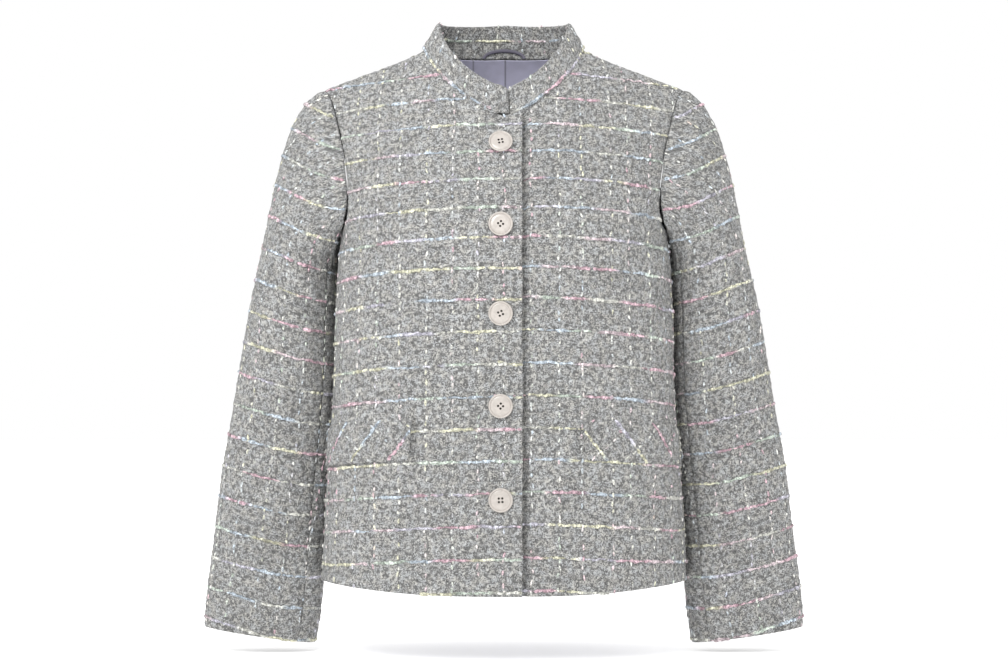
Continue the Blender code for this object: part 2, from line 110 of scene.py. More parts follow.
# Sleeve rings from upper arm to cuff: outer x, outer z, inner x, inner z, half depth, middle y
SLEEVE = (
    (0.269, -0.224, 0.184, -0.246, 0.06, 0.02),
    (0.281, -0.275, 0.185, -0.305, 0.057, 0.026),
    (0.292, -0.332, 0.1858, -0.37, 0.052, 0.029),
    (0.302, -0.391, 0.1896, -0.428, 0.047, 0.03),
    (0.311, -0.444, 0.1942, -0.482, 0.042, 0.028),
    (0.3182, -0.5, 0.1975, -0.53, 0.038, 0.025),
    (0.324, -0.552, 0.1998, -0.578, 0.034, 0.021),
    (0.3292, -0.606, 0.204, -0.627, 0.03, 0.013),
    (0.3306, -0.634, 0.208, -0.652, 0.028, 0.008),
)
SLEEVE_TURN = 0.15
FRONT_SLEEVE_SEAM = 0.1
BACK_SLEEVE_SEAM = 0.8
# Sleeve cap: its direction at the armhole, its pull there and at the first ring, as middle and change
CAP_AHEAD = ((0.68, 0.23), -0.22, (-0.64, 0.24))
CAP_START = (0.0925, 0.0575)
CAP_END = (0.115, 0.07)
CAP_NEAR = 0.05

# Stand collar: share of the way from an end to the middle back, lean inward, rise
COLLAR = (
    (0.00, 0.008, 0.0336),
    (0.3, 0.0105, 0.031),
    (0.62, 0.016, 0.03),
    (0.8, 0.009, 0.0335),
    (1.00, 0.005, 0.036),
)
COLLAR_MIDDLE = -0.008
COLLAR_LEAN_CURVE = 1.3
COLLAR_CORNER = 0.01
COLLAR_CORNER_DROP = 0.0055
COLLAR_SEWN = 0.0015
COLLAR_STRIPE = 0.003
COLLAR_BARE = (0.017, 0.0195)
COLLAR_INNER_STRIPE = 0.019

# Pocket flaps
FLAP_INNER = (0.0945, 0.081)
FLAP_OUTER_ANGLE = 0.1
FLAP_TOP = -0.405
FLAP_SLANT = 0.008
FLAP_HEIGHT = 0.045
FLAP_LENGTH = 0.135
FLAP_CORNER = 0.004
FLAP_BIAS = math.radians(50)
FLAP_STAND = 0.002
FLAP_CURL = 0.0045
FLAP_CURL_WIDE = 0.016
FLAP_CURL_START = 0.01
FLAP_FIRST_STRIPE = 0.013

# Buttons
BUTTON_X = -0.0035
BUTTON_HEIGHTS = (-0.1175, -0.206, -0.2975, -0.3935, -0.4905)
BUTTON_TURNS = (0.2, 0.62, 0.45, 0.72, 0.05)
BUTTON_HOLE = 0.0012
BUTTON_HOLE_RING = 0.0026
BUTTON_HOLE_DEEP = (0.0018, 0.006)
BUTTON_LEAN = 0.006
BUTTON_SIDES = 64
DRILL_SIDES = 16
# Button profile from the shank up, in millimetres: radius, height
BUTTON_PROFILE = (
    (2.6, 0.3), (2.4, 1.6), (10, 1.6), (11.7, 1.9), (12.5, 2.6), (12.7, 3.3), (12.6, 3.9),
    (12.2, 4.3), (11.7, 4.4), (11.2, 4.2), (10.9, 3.6), (10.5, 3.3), (10.1, 3.5), (9.5, 3.8),
    (7, 3.7),
)

# Hanger loop
LOOP_HALF = 0.0225
LOOP_FOOT = 0.0016
LOOP_RISE = 0.009
LOOP_WIDE = 0.004
LOOP_THICK = 0.0012
LOOP_SQUARE = (0.6, 0.8)
LOOP_STEPS = 48
LOOP_SIDES = 10
LOOP_REACH = 30

# Cloth thickness and what stands on it
TWEED = 0.0016
COLLAR_CLOTH = 0.003
LINING_CLOTH = 0.0008
THINNEST = 0.0004
SKIN_GAP = 0.0004
LINING_INSET = 0.003
LINING_HEM_ROWS = 6
LINING_SIDE_COLUMNS = 8
LINING_STEP = 2
# Painted shade of the lining's pressed pleats, dark lines with no fold in the form: place across the back,
# depth of the line's shade
LINING_PLEAT_SHADES = ((0.0015, 0.55), (-0.036, 0.4))
PLEAT_SHADE_SHARP = 250.0
SHARP_ANGLE = math.radians(50)
# How far the face turns in at an edge of each kind, and over what width
EDGES = {
    "seam": (0.0013, 0.0026),
    "neck": (0.0005, 0.002),
    "fold": (0.0008, 0.0016),
    "sunk": (0.0022, 0.005),
}
# Nubs of the cloth: height, size
NUBS = ((0.0006, 0.0047), (0.00045, 0.0029), (0.0007, 0.06))
LATTICE = 97
CREASE_ENDS = (0.02, 0.98)

# Fine grids
SIDE_ROWS = 160
ARM_ROWS = 80
ARM_CROWD = 1.3
SHOULDER_COLUMNS = 56
NECK_COLUMNS = 52
LAP_COLUMNS = 22
END_STEPS = 14
CAP_ROWS = 48
RING_STEPS = 190
COLLAR_ROWS = 14
FLAP_COLUMNS = 64
FLAP_ROWS = 22
INNER_STEP = 4
ACROSS_STEPS = 21

# Soft creases by piece, in millimetres of cloth: from u, v to u, v, half width, depth
CREASES = {
    "front_right": (
        (-93.5, 126, -93.5, 196, 2, 5.2), (-215, 395, -130, 330, 13, 2.2),
        (-225, 350, -150, 262, 17, 1.8), (-235, 215, -165, 190, 14, 1.6),
        (-120, 10, -105, 120, 18, 1.6),
    ),
    "front_left": (
        (79.5, 130, 79.5, 194, 2, 3.4), (212, 400, 140, 345, 12, 2),
        (228, 340, 160, 270, 16, 2), (238, 205, 150, 172, 15, 1.7),
        (150, 8, 142, 95, 17, 1.4),
    ),
    "back": (
        (205, 385, 110, 310, 13, 5), (-198, 370, -125, 280, 15, 4.2),
        (-120, 222, 50, 205, 14, 3.6), (195, 232, 80, 186, 16, 4.4),
        (-210, 245, -110, 178, 15, 4), (60, 5, 72, 140, 19, 3),
        (-95, 10, -110, 105, 17, 2.6),
    ),
    "sleeve_right_top": (
        (-10, -345, 70, -330, 11, 2.6), (-10, -395, 85, -372, 12, 2.8),
        (-10, -300, 50, -268, 13, 2.2), (135, -318, 235, -352, 13, 4),
        (150, -372, 230, -398, 12, 3.4), (120, -270, 225, -300, 15, 3),
    ),
    "sleeve_left_top": (
        (-10, -352, 62, -342, 12, 2.6), (-10, -410, 78, -380, 12, 2.4),
        (-10, -290, 55, -262, 14, 2.2), (140, -330, 230, -360, 14, 3.8),
        (130, -392, 225, -410, 12, 3.2), (145, -275, 235, -312, 14, 3.2),
    ),
}

# Weft stripes: height on the middle of the front, number of stripes up from the hem
WEFT = (
    (-0.62, -1.0), (-0.586, 0.0), (-0.484, 3.0), (-0.384, 6.0), (-0.283, 9.0), (-0.188, 12.0),
    (-0.096, 15.0), (-0.036, 17.0), (0.03, 19.2),
)
STRIPE_PITCH = 0.0337
STRIPE_DROOP = 0.27
LEFT_STRIPE_SHIFT = -0.0024
# Slope of the stripes on a sleeve: height, rise of the outer side
SLEEVE_SLOPE = (
    (-0.66, 0.29), (-0.5, 0.24), (-0.36, 0.3), (-0.25, 0.385), (-0.16, 0.55), (-0.08, 0.62),
    (-0.02, 0.62),
)
# How fast they level out towards its inner side
SLEEVE_LEVEL = 9.0
SLEEVE_INNER = -0.05
# Height and middle of the sleeve at its head
SLEEVE_HEAD = (-0.05, 0.205)
YARN_RADIUS = 0.0016
YARN_FLAT = 0.58
YARN_SIDES = 5
YARN_STEP = 0.0013
YARN_END = 0.4
YARN_LIFT = 0.0001
# Uneven yarn, each as height and length of its waves: sideways, thickness, in and out of the weave, specks
YARN_WOBBLE = ((0.0006, 0.013), (0.0006, 0.0034))
YARN_SLUBS = ((0.25, 0.016), (0.45, 0.0026))
YARN_DIPS = ((0.001, 0.0036), (0.0002, 0.02))
YARN_SPECKS = ((1.0, 0.0027),)
FLECK_COLUMN = 0.0275
FLECK_STEP = 0.0112
FLECK_DRIFT = 0.0015
FLECK_JITTER = 0.0022
FLECK_MARGIN = 0.001
FLECK_SKIP = 0.16
FLECK_REACH = 0.004
FLECK_TURN = 0.0014
FLECK_ASIDE = 0.0008
FLECK_LIFT = 0.0003
FLECK_LONG = (0.0038, 0.0074)
FLECK_WIDE = (0.0019, 0.0029)
FLECK_DYE = 0.5
FLECK_TONE = (0.95, 1.45)
FLECK_PALE = 1.4
GRAIN_SIDES = 5
GRAIN_FLAT = 0.75
# A grain from one end to the other: share of half the length, share of the width
GRAIN_RINGS = ((-0.62, 0.72), (0.0, 1.0), (0.62, 0.72))

# Space-dyed slub yarn: its colours, the shortest and longest dyed length and the soft change between two
PINK = (0.525, 0.355, 0.405)
ROSE = (0.52, 0.43, 0.455)
LILAC = (0.445, 0.435, 0.5)
BLUE = (0.405, 0.465, 0.525)
PALE = (0.51, 0.51, 0.465)
YELLOW = (0.56, 0.55, 0.41)
MINT = (0.445, 0.505, 0.44)
DYES = (YELLOW, PINK, BLUE, MINT, ROSE, YELLOW, LILAC, PINK, PALE, BLUE)
DYE_SHORT = 0.022
DYE_LONG = 0.046
DYE_SOFT = 0.009
DYE_TONE = 0.94
DYE_SPECK = 0.42
DYE_SHINE = 0.12
WHITE_SLUB = (0.82, 0.82, 0.77)

TWEED_DARK = (0.052, 0.052, 0.051)
TWEED_MID = (0.168, 0.168, 0.165)
TWEED_LIGHT = (0.49, 0.49, 0.48)
CURL_WARM = (0.505, 0.495, 0.465)
CURL_COOL = (0.48, 0.493, 0.5)
LINING_COLOUR = (0.59, 0.58, 0.735)
LOOP_COLOUR = (0.075, 0.07, 0.1)
BUTTON_COLOUR = (0.405, 0.372, 0.342)
# Near-black painted shade on the walls of the button holes
HOLE_SHADE_COLOUR = (0.03, 0.025, 0.02, 1)
WHITE = (1, 1, 1, 1)
SHEEN_ROUGH = 0.6
# How far the yarns of the pattern stray from their straight lines, in millimetres
STRAY = (3.2, 3.2, 0)

# Camera and stage
CAMERA_AT = (0, -2.0, -0.418)
CAMERA_LENS = 64.93
CAMERA_SENSOR = 36
CAMERA_SHIFT = 94 / 1008
FLOOR = -0.662
FLOOR_GLOW = 0.45
FLOOR_HALF = 40
KEY_AT = (-0.5, -1.45, 0.85)
KEY_AIM = (0, 0, -0.15)
KEY_SIZE = 0.8
KEY_POWER = 25.5


def unit(vectors):
    return vectors / np.linalg.norm(vectors, axis=-1, keepdims=True)


def ease(t):
    """Smooth step from 0 to 1."""
    return t**2 * (3 - 2 * t)


def bell(x):
    return np.exp(-(x**2))


def around(count):
    """Even angles round a circle."""
    return 2 * math.pi * np.arange(count) / count


def hermite(t, first, last, start, end):
    """Curve from first to last that leaves along start and arrives along end."""
    return first * ease(1 - t) + last * ease(t) + (1 - t) * t * ((1 - t) * start - t * end)


def smooth(table, where):
    """Rows of a table joined by a smooth curve, read at the values of the first column."""
    rows = np.array(table)
    keys, values = rows[:, 0], rows[:, 1:]
    slopes = np.gradient(values, keys, axis=0)
    where = np.clip(np.asarray(where, float), keys[0], keys[-1])
    low = np.clip(np.searchsorted(keys, where) - 1, 0, len(keys) - 2)
    span = (keys[low + 1] - keys[low])[..., None]
    t = (where - keys[low])[..., None] / span
    curve = hermite(t, values[low], values[low + 1], slopes[low] * span, slopes[low + 1] * span)
    return np.moveaxis(curve, -1, 0)


def ridge(x):
    """Height of the shoulder line above a place across the body, rounded over inside the neck."""
    past = np.maximum(np.abs(x) - NECK_HALF, 0)
    slope = -SHOULDER_SLOPE * past - NECK_FLICK * (1 - np.exp(-past / NECK_FLICK_RUN))
    steep = SHOULDER_SLOPE + NECK_FLICK / NECK_FLICK_RUN
    over = steep * NECK_HALF / NECK_ROUND * (1 - (np.abs(x) / NECK_HALF) ** NECK_ROUND)
    return np.where(np.abs(x) > NECK_HALF, slope, over)


def body_point(angle, z, back):
    """Point on the body form: the angle runs from the side seam to the middle and past it."""
    half, front_depth, back_depth, square = smooth(TORSO, z)
    c, s = np.cos(angle), np.sin(angle)
    x = half * np.sign(c) * np.abs(c) ** (2 / square)
    drop = np.clip((ridge(x) - z) / (BACK_ROUND if back else FRONT_ROUND), 0, 1)
    full = (1 - (1 - drop) ** ROUND_CURVE) ** ROUND_FULL
    depth = np.sign(s) * np.abs(s) ** (2 / square) * full
    return np.stack([x, depth * (back_depth if back else -front_depth), z + 0 * x], axis=-1)


def body_normal(angle, z, back):
    """Direction out of the body form at an angle and height."""
    turn, lift = 0.01, 0.001
    over = body_point(angle + turn, z, back) - body_point(angle - turn, z, back)
    up = body_point(angle, z + lift, back) - body_point(angle, z - lift, back)
    return -unit(np.cross(over, up) * (-1 if back else 1))


def angle_at(x, z):
    """Angle on the form at which the body is x wide of its middle."""
    half, _, _, square = smooth(TORSO, z)
    return np.arccos(np.sign(x) * np.clip(np.abs(x) / half, 0, 1) ** (square / 2))


def armhole(share, scoop):
    """Angle and height along the armhole, from the underarm to the shoulder tip."""
    tip = ridge(SHOULDER_TIP)
    z = UNDERARM + (tip - UNDERARM) * (1 - np.cos(math.pi * share)) / 2
    scooped = scoop * np.sin(math.pi * share**SCOOP_LOW) ** SCOOP_FULL
    return angle_at(SHOULDER_TIP, tip) * share + scooped, z


def front_neck(x):
    """Height of the front neckline at a distance from the middle."""
    across = np.clip(np.abs(x) / NECK_HALF, 0, 1) ** NECK_CURVE
    return -NECK_DROP * (1 - across) ** (1 / NECK_CURVE)


def neck_line(end):
    """Distances from the middle along the front neckline, from its shoulder point to end."""
    last = math.acos((end / NECK_HALF) ** (NECK_CURVE / 2))
    return NECK_HALF * np.cos(np.linspace(0, last, NECK_COLUMNS + 1)) ** (2 / NECK_CURVE)


def patch(left, right, bottom, top):
    """Grid of angles and heights inside four edges, with the shoulder hump kept near the top."""
    u = ((bottom[0] - bottom[0][0]) / (bottom[0][-1] - bottom[0][0]))[None, :]
    v = np.linspace(0, 1, len(left[0]))[:, None]
    grids = []
    for i in range(2):
        sides = (1 - u) * left[i][:, None] + u * right[i][:, None]
        low = bottom[i] - ((1 - u) * bottom[i][0] + u * bottom[i][-1])
        high = top[i] - ((1 - u) * top[i][0] + u * top[i][-1])
        grids.append(sides + (1 - v) * low + v**3 * high)
    return grids


def side_edge(scoop):
    """Side seam and armhole as one edge: angles and heights from the hem to the shoulder tip."""
    seam = np.linspace(HEM_SIDE, UNDERARM, SIDE_ROWS + 1)
    angle, z = armhole(np.linspace(0, 1, ARM_ROWS + 1)[1:] ** ARM_CROWD, scoop)
    return np.concatenate([0 * seam, angle]), np.concatenate([seam, z])


def middle_heights(hem, at_underarm, top):
    """Heights along the middle edge that go with the rows of the side edge."""
    low = np.linspace(hem, at_underarm, SIDE_ROWS + 1)
    return np.concatenate([low, np.linspace(at_underarm, top, ARM_ROWS + 1)[1:]])


def hem_height(angle, middle):
    return HEM_SIDE + (middle - HEM_SIDE) * np.sin(np.minimum(angle, math.pi / 2)) ** HEM_CURVE


def front_form():
    """Angles and heights of a front, from the side seam to the edge of the lap, at +X."""
    shoulder = np.linspace(SHOULDER_TIP, NECK_HALF, SHOULDER_COLUMNS + 1)
    lap = np.linspace(LAP_START, -LAP, LAP_COLUMNS + 1)
    neck = np.concatenate([neck_line(LAP_START)[1:-1], lap])
    x_top = np.concatenate([shoulder, neck])
    z_top = np.concatenate([ridge(shoulder), front_neck(neck)])
    a_lap = angle_at(lap, HEM_FRONT)
    a_hem = np.concatenate([np.linspace(0, a_lap[0], len(x_top) - len(lap) + 1)[:-1], a_lap])
    z_hem = hem_height(a_hem, HEM_FRONT)
    z_mid = middle_heights(z_hem[-1], FRONT_AT_UNDERARM, z_top[-1])
    right = angle_at(-LAP, z_mid), z_mid
    return patch(side_edge(FRONT_SCOOP), right, (a_hem, z_hem), (angle_at(x_top, z_top), z_top))


def back_form():
    """Angles and heights of the back at +X, from the side seam to the middle."""
    shoulder = np.linspace(SHOULDER_TIP, NECK_HALF, SHOULDER_COLUMNS + 1)
    first = angle_at(NECK_HALF, 0.0)
    a_neck = np.linspace(first, math.pi / 2, NECK_COLUMNS + 1)[1:]
    z_neck = BACK_NECK_RISE * np.linspace(0, 1, NECK_COLUMNS + 1)[1:]
    a_top = np.concatenate([angle_at(shoulder, ridge(shoulder)), a_neck])
    z_top = np.concatenate([ridge(shoulder), z_neck])
    a_hem = np.linspace(0, math.pi / 2, len(a_top))
    z_mid = middle_heights(HEM_BACK, BACK_AT_UNDERARM, BACK_NECK_RISE)
    right = np.full(len(z_mid), math.pi / 2), z_mid
    return patch(side_edge(BACK_SCOOP), right, (a_hem, hem_height(a_hem, HEM_BACK)), (a_top, z_top))


def across_body(angle, z, back):
    """Length of cloth round the body from the middle to a place on it."""
    steps = np.linspace(0, 1, ACROSS_STEPS)[:, None, None]
    z = np.broadcast_to(z, (ACROSS_STEPS, *z.shape))
    line = body_point(angle + (math.pi / 2 - angle) * steps, z, back)
    length = np.linalg.norm(np.diff(line, axis=0), axis=-1).sum(axis=0)
    return length * np.sign(math.pi / 2 - angle)


def weft_height(points):
    """Place along the cloth of a point on the body, so that stripes lie at whole pitches."""
    number = smooth(WEFT, points[..., 2])[0]
    return number * STRIPE_PITCH + STRIPE_DROOP * points[..., 0] ** 2


def sleeve_grid(loop):
    """Sleeve at +X from the armhole loop to the cuff; the loop starts at the underarm, front first."""
    theta = math.pi - around(len(loop))
    c, s = np.cos(theta)[:, None], np.sin(theta)[:, None]
    (x, x_change), y_change, (z, z_change) = CAP_AHEAD
    ahead = unit(np.concatenate([x + x_change * c, y_change * s, z + z_change * c], axis=1))

    def ring(place):
        rows = [(i, *row) for i, row in enumerate(SLEEVE)]
        outer_x, outer_z, inner_x, inner_z, deep, y = smooth(rows, place)
        middle = np.array([(outer_x + inner_x) / 2, y, (outer_z + inner_z) / 2])
        wide = np.array([(outer_x - inner_x) / 2, 0, (outer_z - inner_z) / 2])
        turned = (theta - SLEEVE_TURN * place / (len(SLEEVE) - 1))[:, None]
        return middle + np.cos(turned) * wide - np.sin(turned) * np.array([0, deep, 0])

    first = ring(0.0)
    start = ahead * (CAP_START[0] + CAP_START[1] * c)
    end = unit(ring(CAP_NEAR) - first) * (CAP_END[0] + CAP_END[1] * c)
    rows = [hermite(t, loop, first, start, end) for t in np.linspace(0, 1, CAP_ROWS + 1)[:-1]]
    rows += [ring(place) for place in np.linspace(0, len(SLEEVE) - 1, RING_STEPS + 1)]
    return np.stack(rows)


def sleeve_weft(points):
    """Place along the cloth of a point on a sleeve; the stripes rise towards its outer side."""
    z = points[..., 2]
    rows = [((r[1] + r[3]) / 2, (r[0] + r[2]) / 2) for r in SLEEVE[::-1]] + [SLEEVE_HEAD]
    middle = smooth(rows, z)[0]
    slope = smooth(SLEEVE_SLOPE, z)[0]
    aside = np.maximum(np.abs(points[..., 0]) - middle, SLEEVE_INNER)
    return z - slope * (aside + SLEEVE_LEVEL * np.minimum(aside, 0) ** 2)


def collar_grid(base):
    """Collar standing on the neckline, from the right end round the back to the left end."""
    run = run_along(base)
    middle = run[-1] / 2
    lean, rise = smooth(COLLAR, 1 - np.abs(run - middle) / middle)
    inward = unit(np.stack([-base[:, 0], COLLAR_MIDDLE - base[:, 1], 0 * run], axis=1))
    rise = rise - COLLAR_CORNER_DROP * np.clip(1 - run / COLLAR_CORNER, 0, 1) ** 2
    # Sewn in below the neckline, but open under the right end, which shows as a dark slot.
    slot = np.clip(COLLAR_SLOT_LONG - run, 0, COLLAR_SLOT_END) / COLLAR_SLOT_END
    start = (COLLAR_SLOT * slot - COLLAR_SEWN * (1 - slot)) / rise
    share = start[None, :] + (1 - start[None, :]) * np.linspace(0, 1, COLLAR_ROWS + 1)[:, None]
    share = share[..., None]
    up = np.stack([0 * run, 0 * run, rise], axis=1)
    return base + share * up + np.maximum(share, 0) ** COLLAR_LEAN_CURVE * lean[:, None] * inward


def flap_form(inner):
    """Angles and heights of a pocket flap on the front, from its inner edge round to the side."""
    start = angle_at(inner, FLAP_TOP)
    share = np.linspace(0, 1, FLAP_COLUMNS + 1)
    run = np.minimum(share, 1 - share) * FLAP_LENGTH
    lift = FLAP_CORNER * np.clip(1 - run / FLAP_CORNER, 0, 1) ** 2
    down = np.linspace(1, 0, FLAP_ROWS + 1)[:, None]
    z = FLAP_TOP - FLAP_SLANT * share - down * (FLAP_HEIGHT - lift)
    return np.broadcast_to(start + (FLAP_OUTER_ANGLE - start) * share, z.shape), z


def on_body(angle, z, back):
    return body_point(angle, z, back), body_normal(angle, z, back)


def run_along(points):
    """Length of a line of points up to each of them."""
    return np.concatenate([[0], np.cumsum(np.linalg.norm(np.diff(points, axis=0), axis=1))])


def along_line(where, run, line):
    """Points of a line at lengths along it."""
    return np.stack([np.interp(where, run, line[:, k]) for k in range(3)], axis=-1)


def grid_normals(grid, outward):
    """Unit normals of a grid that agree with rough outward directions."""
    n = unit(np.cross(np.gradient(grid, axis=1), np.gradient(grid, axis=0)))
    return n * np.sign(np.sum(n * outward))


def lumps(u, v, size, seed):
    """Soft random heights from -1 to 1 over the cloth, about one lump to a size."""
    lattice = np.random.default_rng(seed).uniform(-1, 1, (LATTICE, LATTICE))
    a, b = u / size, v / size
    i, j = np.floor(a).astype(int), np.floor(b).astype(int)
    s, t = ease(a - i), ease(b - j)
    i, right, j, up = i % LATTICE, (i + 1) % LATTICE, j % LATTICE, (j + 1) % LATTICE
    low = lattice[i, j] * (1 - s) + lattice[right, j] * s
    high = lattice[i, up] * (1 - s) + lattice[right, up] * s
    return low * (1 - t) + high * t


def spread(values, reach):
    """Largest value within a reach of rows and columns round each grid point."""
    for axis in (0, 1):
        pads = [(reach, reach) if k == axis else (0, 0) for k in (0, 1)]
        padded = np.pad(values, pads, mode="edge")
        values = np.lib.stride_tricks.sliding_window_view(padded, 2 * reach + 1, axis=axis).max(axis=-1)
    return values


def lengths(grid, axis):
    """Length of cloth from the first line of a grid to each point, along an axis."""
    steps = np.diff(grid, axis=axis, prepend=np.take(grid, [0], axis=axis))
    return np.cumsum(np.linalg.norm(steps, axis=2), axis=axis)


def edge_distances(grid):
    """Lengths of cloth from each point to the bottom, top, first and last edges."""
    down, over = lengths(grid, 0), lengths(grid, 1)
    return down, down[-1:] - down, over, over[:, -1:] - over


def add_object(name, data):
    item = bpy.data.objects.new(name, data)
    bpy.context.scene.collection.objects.link(item)
    return item


def add_mesh(name, points, faces, material, uv=None):
    """One smooth-shaded object from points and faces, with its place on the cloth as a UV map."""
    mesh = bpy.data.meshes.new(name)
    mesh.from_pydata(points.tolist(), [], faces)
    if uv is not None:
        corner = np.empty(len(mesh.loops), np.int32)
        mesh.loops.foreach_get("vertex_index", corner)
        layer = mesh.uv_layers.new(name="cloth")
        layer.data.foreach_set("uv", uv[corner].astype(np.float32).ravel())
    mesh.shade_smooth()
    mesh.materials.append(material)
    return add_object(name, mesh)


def grid_faces(index):
    a, b, c, d = index[:-1, :-1], index[:-1, 1:], index[1:, 1:], index[1:, :-1]
    return np.stack([a, b, c, d], axis=-1).reshape(-1, 4).tolist()


def ring_index(rings, sides):
    """Numbers of the points of a tube by ring, each ring closed with its first point."""
    index = np.arange(rings * sides).reshape(rings, sides)
    return np.concatenate([index, index[:, :1]], axis=1)


def stand_in(item, node):
    """Say where an object rides, and hide the solid whose place it takes."""
    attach(item, "root")
    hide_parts(node)


def shell(name, outer, inner, uv, material, step):
    """Closed thin shell: a fine outer face, an inner face with every step-th line, and the rim between."""
    rows, columns = outer.shape[:2]
    keep_rows = np.unique(np.append(np.arange(0, rows, step), rows - 1))
    keep_columns = np.unique(np.append(np.arange(0, columns, step), columns - 1))
    few = np.ix_(keep_rows, keep_columns)
    inner, inner_uv = inner[few], uv[few]
    index = np.arange(rows * columns).reshape(rows, columns)
    below = rows * columns + np.arange(inner.shape[0] * inner.shape[1]).reshape(inner.shape[:2])
    faces = grid_faces(index) + [face[::-1] for face in grid_faces(below)]

    sides = (
        (index[0], below[0], keep_columns, False),
        (index[-1], below[-1], keep_columns, True),
        (index[:, 0], below[:, 0], keep_rows, True),
        (index[:, -1], below[:, -1], keep_rows, False),
    )
    for line, under, keep, turned in sides:
        for k in range(len(keep) - 1):
            face = line[keep[k]:keep[k + 1] + 1].tolist()[::-1] + [int(under[k]), int(under[k + 1])]
            faces.append(face[::-1] if turned else face)
    across = np.cross(outer[0, 1] - outer[0, 0], outer[1, 0] - outer[0, 0])
    if across @ (outer[0, 0] - inner[0, 0]) < 0:
        faces = [face[::-1] for face in faces]
    points = np.concatenate([outer.reshape(-1, 3), inner.reshape(-1, 3)])
    places = np.concatenate([uv.reshape(-1, 2), inner_uv.reshape(-1, 2)])
    return add_mesh(name, points, faces, material, places)


class Panel:
    """A cut piece: its smooth grid, normals, place on the cloth and how each edge ends."""

    def __init__(self, name, grid, normals, u, v, edges, cloth=TWEED, step=INNER_STEP, groove=0):
        self.name, self.grid, self.normals, self.step = name, grid, normals, step
        self.u, self.v = u, v
        self.bare = (0, 0)
        self.seed = sum(map(ord, name))
        dip = self.creases() + groove
        height = self.relief(edges) - dip
        self.face = grid + normals * height[..., None]
        # The inner face has fewer lines, so it keeps clear of the deepest dip near each point.
        dip = spread(dip, step)
        deep = np.maximum(cloth + dip, THINNEST + spread(-height, step))
        self.behind = grid - normals * dip[..., None]
        self.inner = grid - normals * deep[..., None]

    def relief(self, edges):
        """Height of the nubby face over the smooth form, turned in at seams and rounded at folds."""
        height = np.zeros(self.u.shape)
        for k, (high, size) in enumerate(NUBS):
            height += high * lumps(self.u, self.v, size, self.seed + k)
        for kind, away in zip(edges, edge_distances(self.grid)):
            deep, wide = EDGES[kind]
            height -= deep * bell(away / wide)
        return height

    def creases(self):
        """Depth of the soft creases, which both faces of the cloth follow."""
        dip = np.zeros(self.u.shape)
        for row in CREASES.get(self.name, ()):
            u0, v0, u1, v1, wide, deep = np.array(row) / 1000
            along = np.array([u1 - u0, v1 - v0])
            share = ((self.u - u0) * along[0] + (self.v - v0) * along[1]) / (along @ along)
            held = np.clip(share, 0, 1)
            apart = np.hypot(self.u - u0 - held * along[0], self.v - v0 - held * along[1])
            dip += deep * bell(apart / wide) * np.sin(math.pi * np.clip(share, *CREASE_ENDS))
        return dip

    def build(self, material, slot):
        uv = np.stack([self.u, self.v], axis=-1)
        item = shell(self.name + "_cloth", self.face, self.inner, uv, material, self.step)
        stand_in(item, self.name)
        return item


def crossings(values, level):
    """Runs of columns in which values, rising down the rows, pass a level, with the fractional rows."""
    rows = np.arange(len(values))
    place = np.array([np.interp(level, line, rows, np.nan, np.nan) for line in values.T])
    good = np.flatnonzero(~np.isnan(place))
    runs = np.split(good, np.flatnonzero(np.diff(good) > 1) + 1)
    return [(run, place[run]) for run in runs if len(run) > 3]


def read(grid, rows, columns):
    """Grid values at fractional rows of whole columns."""
    low = np.clip(np.floor(rows).astype(int), 0, grid.shape[0] - 2)
    part = (rows - low).reshape([-1] + [1] * (grid.ndim - 2))
    return grid[low, columns] * (1 - part) + grid[low + 1, columns] * part


def dyed(run, rng):
    """Colours along a space-dyed yarn: short dyed lengths in no fixed order, with soft changes."""
    count = int(run[-1] / DYE_SHORT) + 3
    spans = rng.uniform(DYE_SHORT, DYE_LONG, count)
    ends = np.cumsum(spans) - rng.uniform(0, DYE_SHORT)
    picks = np.cumsum(rng.integers(1, len(DYES), count)) % len(DYES)
    colours = np.array(DYES)[picks]
    which = np.searchsorted(ends, run)
    share = np.clip((run - ends[which] + spans[which]) / DYE_SOFT, 0, 1)[:, None]
    return colours[np.maximum(which - 1, 0)] * (1 - share) + colours[which] * share


class Strands:
    """Yarns and flecks gathered into one coloured mesh."""

    def __init__(self):
        self.points, self.faces, self.colours, self.count = [], [], [], 0

    def add(self, points, faces, colours):
        self.points.append(points)
        self.faces += [[q + self.count for q in face] for face in faces]
        self.colours.append(colours)
        self.count += len(points)

    def build(self, name, material):
        item = add_mesh(name, np.concatenate(self.points), self.faces, material)
        dye = item.data.color_attributes.new("dye", "FLOAT_COLOR", "POINT")
        colours = np.concatenate(self.colours)
        dye.data.foreach_set("color", np.c_[colours, np.ones(len(colours))].astype(np.float32).ravel())
        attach(item, "root")
        return item


